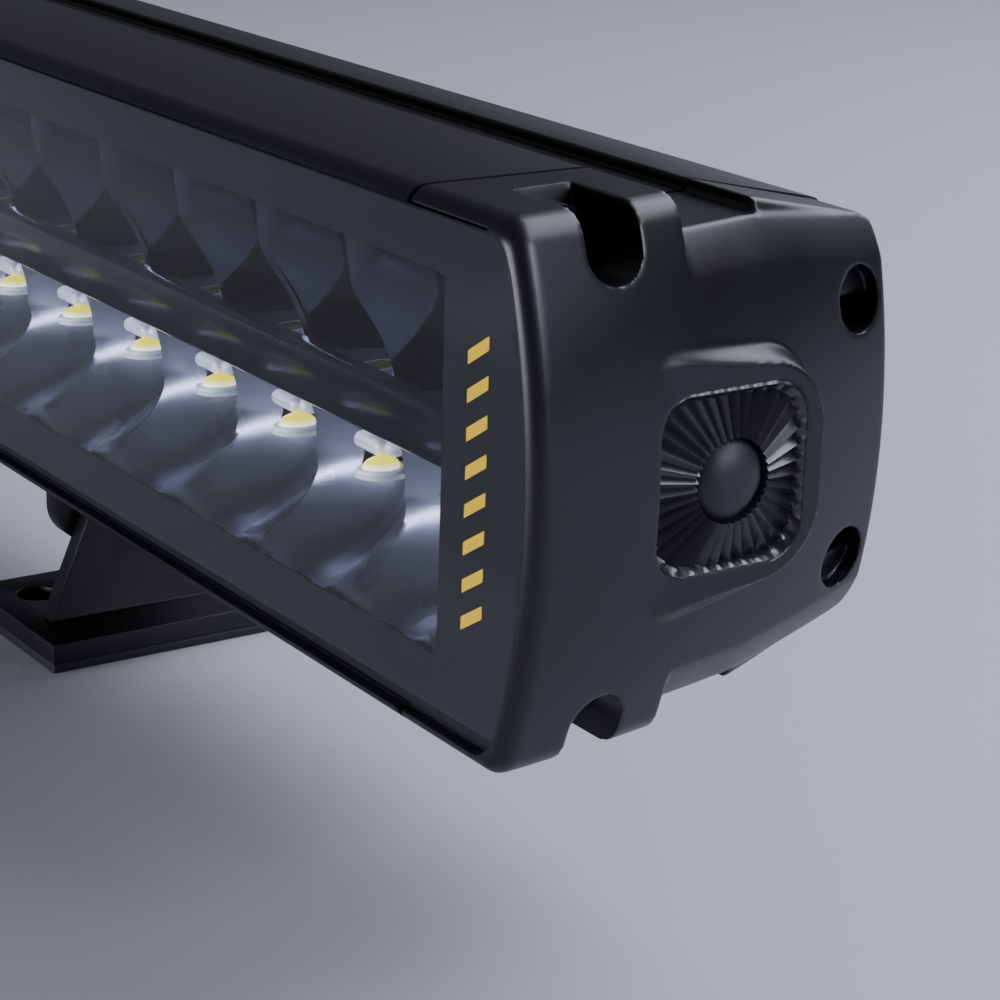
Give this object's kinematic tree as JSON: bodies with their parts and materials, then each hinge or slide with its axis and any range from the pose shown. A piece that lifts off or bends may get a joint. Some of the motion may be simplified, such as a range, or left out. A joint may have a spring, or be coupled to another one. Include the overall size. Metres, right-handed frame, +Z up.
{
  "type": "led light bar",
  "caption": "Double-row LED light bar with an extruded finned housing, bowed end caps with serrated side mounts, and two sliding, tilting feet.",
  "frame": {"origin": "on the mounting surface under the feet, in the middle of the bar's box", "axes": "+X along the bar to the cable-gland end, the lens faces -Y, +Z up"},
  "size_m": [0.5596, 0.0944, 0.1265],
  "materials": {
    "housing_aluminium": "satin black powder coat on extruded aluminium",
    "cap_aluminium": "satin black powder coat on die-cast aluminium",
    "seal_rubber": "moulded silicone rubber",
    "black_screw_steel": "black oxide steel",
    "lens_clear": "hard-coated clear polycarbonate",
    "mask_black": "black print on the back of the lens",
    "fascia_gloss": "gloss black moulding",
    "carrier_aluminium": "mill finish",
    "board_white": "white solder mask",
    "led_yellow": "silicone over phosphor",
    "zinc_steel": "zinc plated",
    "board_green": "green solder mask",
    "component_dark": "moulded epoxy and aluminium cans",
    "plug_nylon": "natural nylon",
    "gland_nylon": "moulded black nylon",
    "insert_brass": "turned and knurled",
    "plug_rubber": "matt moulded rubber",
    "foot_coated": "satin black powder coat",
    "pad_rubber": "moulded rubber",
    "reflector_metallised": "vacuum metallised moulding"
  },
  "bodies": {
    "lamp": {"housing": "housing_aluminium", "end_cap_left": "cap_aluminium", "end_cap_right": "cap_aluminium", "end_gasket_left": "seal_rubber", "end_gasket_right": "seal_rubber", "end_cap_screws": "black_screw_steel", "lens": "lens_clear", "lens_mask": "mask_black", "lens_gasket": "seal_rubber", "centre_fascia": "fascia_gloss", "led_carrier": "carrier_aluminium", "led_board_upper": "board_white", "led_board_lower": "board_white", "leds_upper": "led_yellow", "leds_lower": "led_yellow", "reflector_screws": "zinc_steel", "driver_board": "board_green", "driver_parts": "component_dark", "wire_harness_plug": "plug_nylon", "cable_gland": "gland_nylon", "gland_nut": "gland_nylon", "breather_vent": "gland_nylon", "side_insert_left": "insert_brass", "side_insert_right": "insert_brass", "side_plug_left": "plug_rubber", "side_plug_right": "plug_rubber", "reflector_upper_1": "reflector_metallised", "reflector_upper_2": "reflector_metallised", "reflector_upper_3": "reflector_metallised", "reflector_upper_4": "reflector_metallised", "reflector_upper_5": "reflector_metallised", "reflector_upper_6": "reflector_metallised", "reflector_upper_7": "reflector_metallised", "reflector_upper_8": "reflector_metallised", "reflector_upper_9": "reflector_metallised", "reflector_lower_1": "reflector_metallised", "reflector_lower_2": "reflector_metallised", "reflector_lower_3": "reflector_metallised", "reflector_lower_4": "reflector_metallised", "reflector_lower_5": "reflector_metallised", "reflector_lower_6": "reflector_metallised", "reflector_lower_7": "reflector_metallised", "reflector_lower_8": "reflector_metallised", "reflector_lower_9": "reflector_metallised"},
    "saddle_left_body": {"slot_nut_left": "zinc_steel", "saddle_left": "foot_coated", "saddle_screw_left": "zinc_steel", "tilt_bolt_left": "zinc_steel", "tilt_nut_left": "zinc_steel"},
    "foot_left_body": {"foot_left": "foot_coated", "foot_pad_left": "pad_rubber"},
    "saddle_right_body": {"slot_nut_right": "zinc_steel", "saddle_right": "foot_coated", "saddle_screw_right": "zinc_steel", "tilt_bolt_right": "zinc_steel", "tilt_nut_right": "zinc_steel"},
    "foot_right_body": {"foot_right": "foot_coated", "foot_pad_right": "pad_rubber"}
  },
  "joints": [
    {"name": "foot_left_slide", "type": "slide", "parent": "lamp", "child": "saddle_left_body", "axis": [-1, 0, 0], "range_m": [-0.05, 0.14]},
    {"name": "foot_left_tilt", "type": "hinge", "parent": "saddle_left_body", "child": "foot_left_body", "pos_m": [-0.08, -0.0073, 0.028], "axis": [1, 0, 0], "range_deg": [-45, 45]},
    {"name": "foot_right_slide", "type": "slide", "parent": "lamp", "child": "saddle_right_body", "axis": [1, 0, 0], "range_m": [-0.05, 0.14]},
    {"name": "foot_right_tilt", "type": "hinge", "parent": "saddle_right_body", "child": "foot_right_body", "pos_m": [0.08, -0.0073, 0.028], "axis": [1, 0, 0], "range_deg": [-45, 45]}
  ],
  "couplings": [
    {"joint": "foot_left_tilt", "follows": "foot_right_tilt", "ratio": 1}
  ]
}
